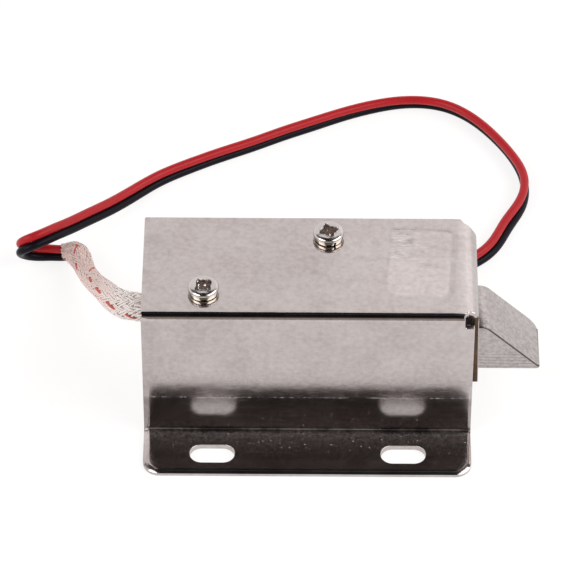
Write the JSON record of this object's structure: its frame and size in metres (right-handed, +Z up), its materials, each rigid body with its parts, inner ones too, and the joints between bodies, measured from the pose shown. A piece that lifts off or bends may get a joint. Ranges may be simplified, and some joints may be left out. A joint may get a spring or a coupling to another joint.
{
  "type": "electromagnetic lock",
  "caption": "Solenoid cabinet lock in a bent plated case with a slotted flange; a spring-loaded sloped tongue slides in at one end, two leads leave the other in a braided sleeve.",
  "frame": {"origin": "on the underside of the mounting flange, halfway between its two slots", "axes": "+X along the case towards the tongue, +Y from the flange to the open back, +Z up from the mounting surface"},
  "size_m": [0.0885, 0.0919, 0.029],
  "materials": {
    "nickel_plate": "bright nickel plate with fine handling marks",
    "screw_plate": "bright nickel plate, dirt in the recess",
    "plain_steel": "zinc plated strip steel",
    "core_steel": "turned bright steel",
    "satin_casting": "satin, mottled, with fine tool lines on its sides",
    "bobbin_nylon": "natural nylon",
    "enamelled_copper": "enamelled copper wire",
    "coil_tape": "yellow polyester tape",
    "brass_tube": "drawn tube",
    "spring_wire": "bright spring wire",
    "glass_braid": "braided glass yarn with a red tracer",
    "red_pvc": "semi-gloss",
    "black_pvc": "semi-gloss",
    "tinned_strand": "tinned strands, twisted and dipped"
  },
  "bodies": {
    "lock_body": {"case": "nickel_plate", "screw_front": "screw_plate", "screw_rear": "screw_plate", "spring_washer_front": "screw_plate", "spring_washer_rear": "screw_plate", "yoke": "plain_steel", "pole_core": "core_steel", "bobbin": "bobbin_nylon", "coil_winding": "enamelled_copper", "coil_tape": "coil_tape", "guide_tube": "brass_tube", "return_spring": "spring_wire", "braided_sleeve": "glass_braid", "lead_red": "red_pvc", "lead_black": "black_pvc", "lead_tip_red": "tinned_strand", "lead_tip_black": "tinned_strand"},
    "bolt": {"latch_bolt": "satin_casting", "plunger": "core_steel", "cross_pin": "core_steel"}
  },
  "joints": [
    {"name": "bolt_slide", "type": "slide", "parent": "lock_body", "child": "bolt", "axis": [-1, 0, 0], "range_m": [0, 0.009], "stiffness_N_per_m": 150, "springref_m": -0.004, "deforming": ["return_spring"]}
  ]
}
